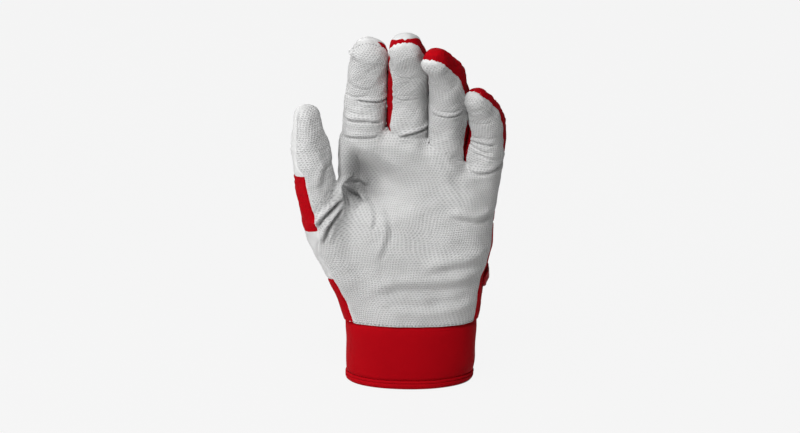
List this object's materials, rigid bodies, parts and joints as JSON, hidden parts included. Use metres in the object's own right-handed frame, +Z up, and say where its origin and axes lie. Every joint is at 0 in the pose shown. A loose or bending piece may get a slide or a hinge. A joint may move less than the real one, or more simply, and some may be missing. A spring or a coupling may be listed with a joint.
{
  "type": "batting glove",
  "caption": "Left-hand batting glove with an embossed leather palm, cloth back, side gussets, knit cuff and hook-and-loop wrist strap; finger and thumb panels bend at their creases.",
  "frame": {"origin": "centre of the wrist opening, on the plane of the cuff's rim", "axes": "+Z up along the hand towards the fingertips, -Y out of the palm, -X towards the thumb"},
  "size_m": [0.121, 0.0744, 0.2084],
  "materials": {
    "palm_leather": "embossed with fine rows of dots, semi-matte",
    "white_cloth": "smooth synthetic leather cloth",
    "red_cloth": "matte stretch cloth",
    "red_knit": "dense stretch knit",
    "hook_tape": "hook tape",
    "tab_rubber": "moulded soft rubber"
  },
  "bodies": {
    "hand": {"palm_panel": "palm_leather", "back_thumb_panel": "white_cloth", "back_outer_panel": "red_cloth", "back_wrist_panel": "red_cloth", "cuff_band": "red_knit", "cuff_hem": "red_knit", "strap_anchor": "red_cloth", "loop_pad": "red_knit"},
    "strap": {"closure_strap": "red_cloth", "hook_pad": "hook_tape", "pull_tab": "tab_rubber"},
    "thumb_lower": {"thumb_front_lower": "palm_leather", "thumb_flex_insert": "red_cloth"},
    "thumb_upper": {"thumb_front_upper": "palm_leather", "thumb_back_cap": "white_cloth"},
    "index_lower": {"index_front_lower": "palm_leather", "index_back_lower": "white_cloth", "index_gusset_lower_right": "red_cloth"},
    "index_upper": {"index_front_upper": "palm_leather", "index_back_upper": "white_cloth", "index_gusset_upper": "red_cloth"},
    "middle_lower": {"middle_front_lower": "palm_leather", "middle_back_lower": "white_cloth", "middle_gusset_lower_left": "red_cloth", "middle_gusset_lower_right": "red_cloth"},
    "middle_upper": {"middle_front_upper": "palm_leather", "middle_back_upper": "white_cloth", "middle_gusset_upper": "red_cloth"},
    "ring_lower": {"ring_front_lower": "palm_leather", "ring_back_lower": "red_cloth", "ring_gusset_lower_left": "red_cloth", "ring_gusset_lower_right": "red_cloth"},
    "ring_upper": {"ring_front_upper": "palm_leather", "ring_back_upper": "red_cloth", "ring_gusset_upper": "red_cloth"},
    "pinky_lower": {"pinky_front_lower": "palm_leather", "pinky_back_lower": "red_cloth", "pinky_gusset_lower_left": "red_cloth", "pinky_gusset_lower_right": "red_cloth"},
    "pinky_upper": {"pinky_front_upper": "palm_leather", "pinky_back_upper": "red_cloth", "pinky_gusset_upper": "red_cloth"}
  },
  "joints": [
    {"name": "index_base", "type": "hinge", "parent": "hand", "child": "index_lower", "pos_m": [-0.0272, -0.02065, 0.14773], "axis": [1, 0, 0], "range_deg": [0, 70], "stiffness_Nm_per_rad": 0.06},
    {"name": "index_middle", "type": "hinge", "parent": "index_lower", "child": "index_upper", "pos_m": [-0.02624, -0.02211, 0.16746], "axis": [1, 0, 0], "range_deg": [0, 85], "stiffness_Nm_per_rad": 0.06},
    {"name": "middle_base", "type": "hinge", "parent": "hand", "child": "middle_lower", "pos_m": [-0.002, -0.0206, 0.14757], "axis": [1, 0, 0], "range_deg": [0, 70], "stiffness_Nm_per_rad": 0.06},
    {"name": "middle_middle", "type": "hinge", "parent": "middle_lower", "child": "middle_upper", "pos_m": [-0.002, -0.02438, 0.16806], "axis": [1, 0, 0], "range_deg": [0, 85], "stiffness_Nm_per_rad": 0.06},
    {"name": "ring_base", "type": "hinge", "parent": "hand", "child": "ring_lower", "pos_m": [0.0207, -0.02093, 0.13893], "axis": [1, 0, 0], "range_deg": [0, 70], "stiffness_Nm_per_rad": 0.06},
    {"name": "ring_middle", "type": "hinge", "parent": "ring_lower", "child": "ring_upper", "pos_m": [0.02092, -0.02587, 0.16013], "axis": [1, 0, 0], "range_deg": [0, 85], "stiffness_Nm_per_rad": 0.06},
    {"name": "pinky_base", "type": "hinge", "parent": "hand", "child": "pinky_lower", "pos_m": [0.0417, -0.01913, 0.12904], "axis": [1, 0, 0], "range_deg": [0, 70], "stiffness_Nm_per_rad": 0.05},
    {"name": "pinky_middle", "type": "hinge", "parent": "pinky_lower", "child": "pinky_upper", "pos_m": [0.04319, -0.02266, 0.14476], "axis": [1, 0, 0], "range_deg": [0, 85], "stiffness_Nm_per_rad": 0.05},
    {"name": "thumb_base", "type": "hinge", "parent": "hand", "child": "thumb_lower", "pos_m": [-0.049, -0.02422, 0.09254], "axis": [1, 0, 0], "range_deg": [0, 40], "stiffness_Nm_per_rad": 0.07},
    {"name": "thumb_middle", "type": "hinge", "parent": "thumb_lower", "child": "thumb_upper", "pos_m": [-0.05465, -0.02524, 0.12235], "axis": [1, 0, 0], "range_deg": [0, 60], "stiffness_Nm_per_rad": 0.06},
    {"name": "strap_peel", "type": "hinge", "parent": "hand", "child": "strap", "pos_m": [-0.02444, 0.02519, 0.0585], "axis": [0, 0, 1], "range_deg": [0, 120]}
  ]
}
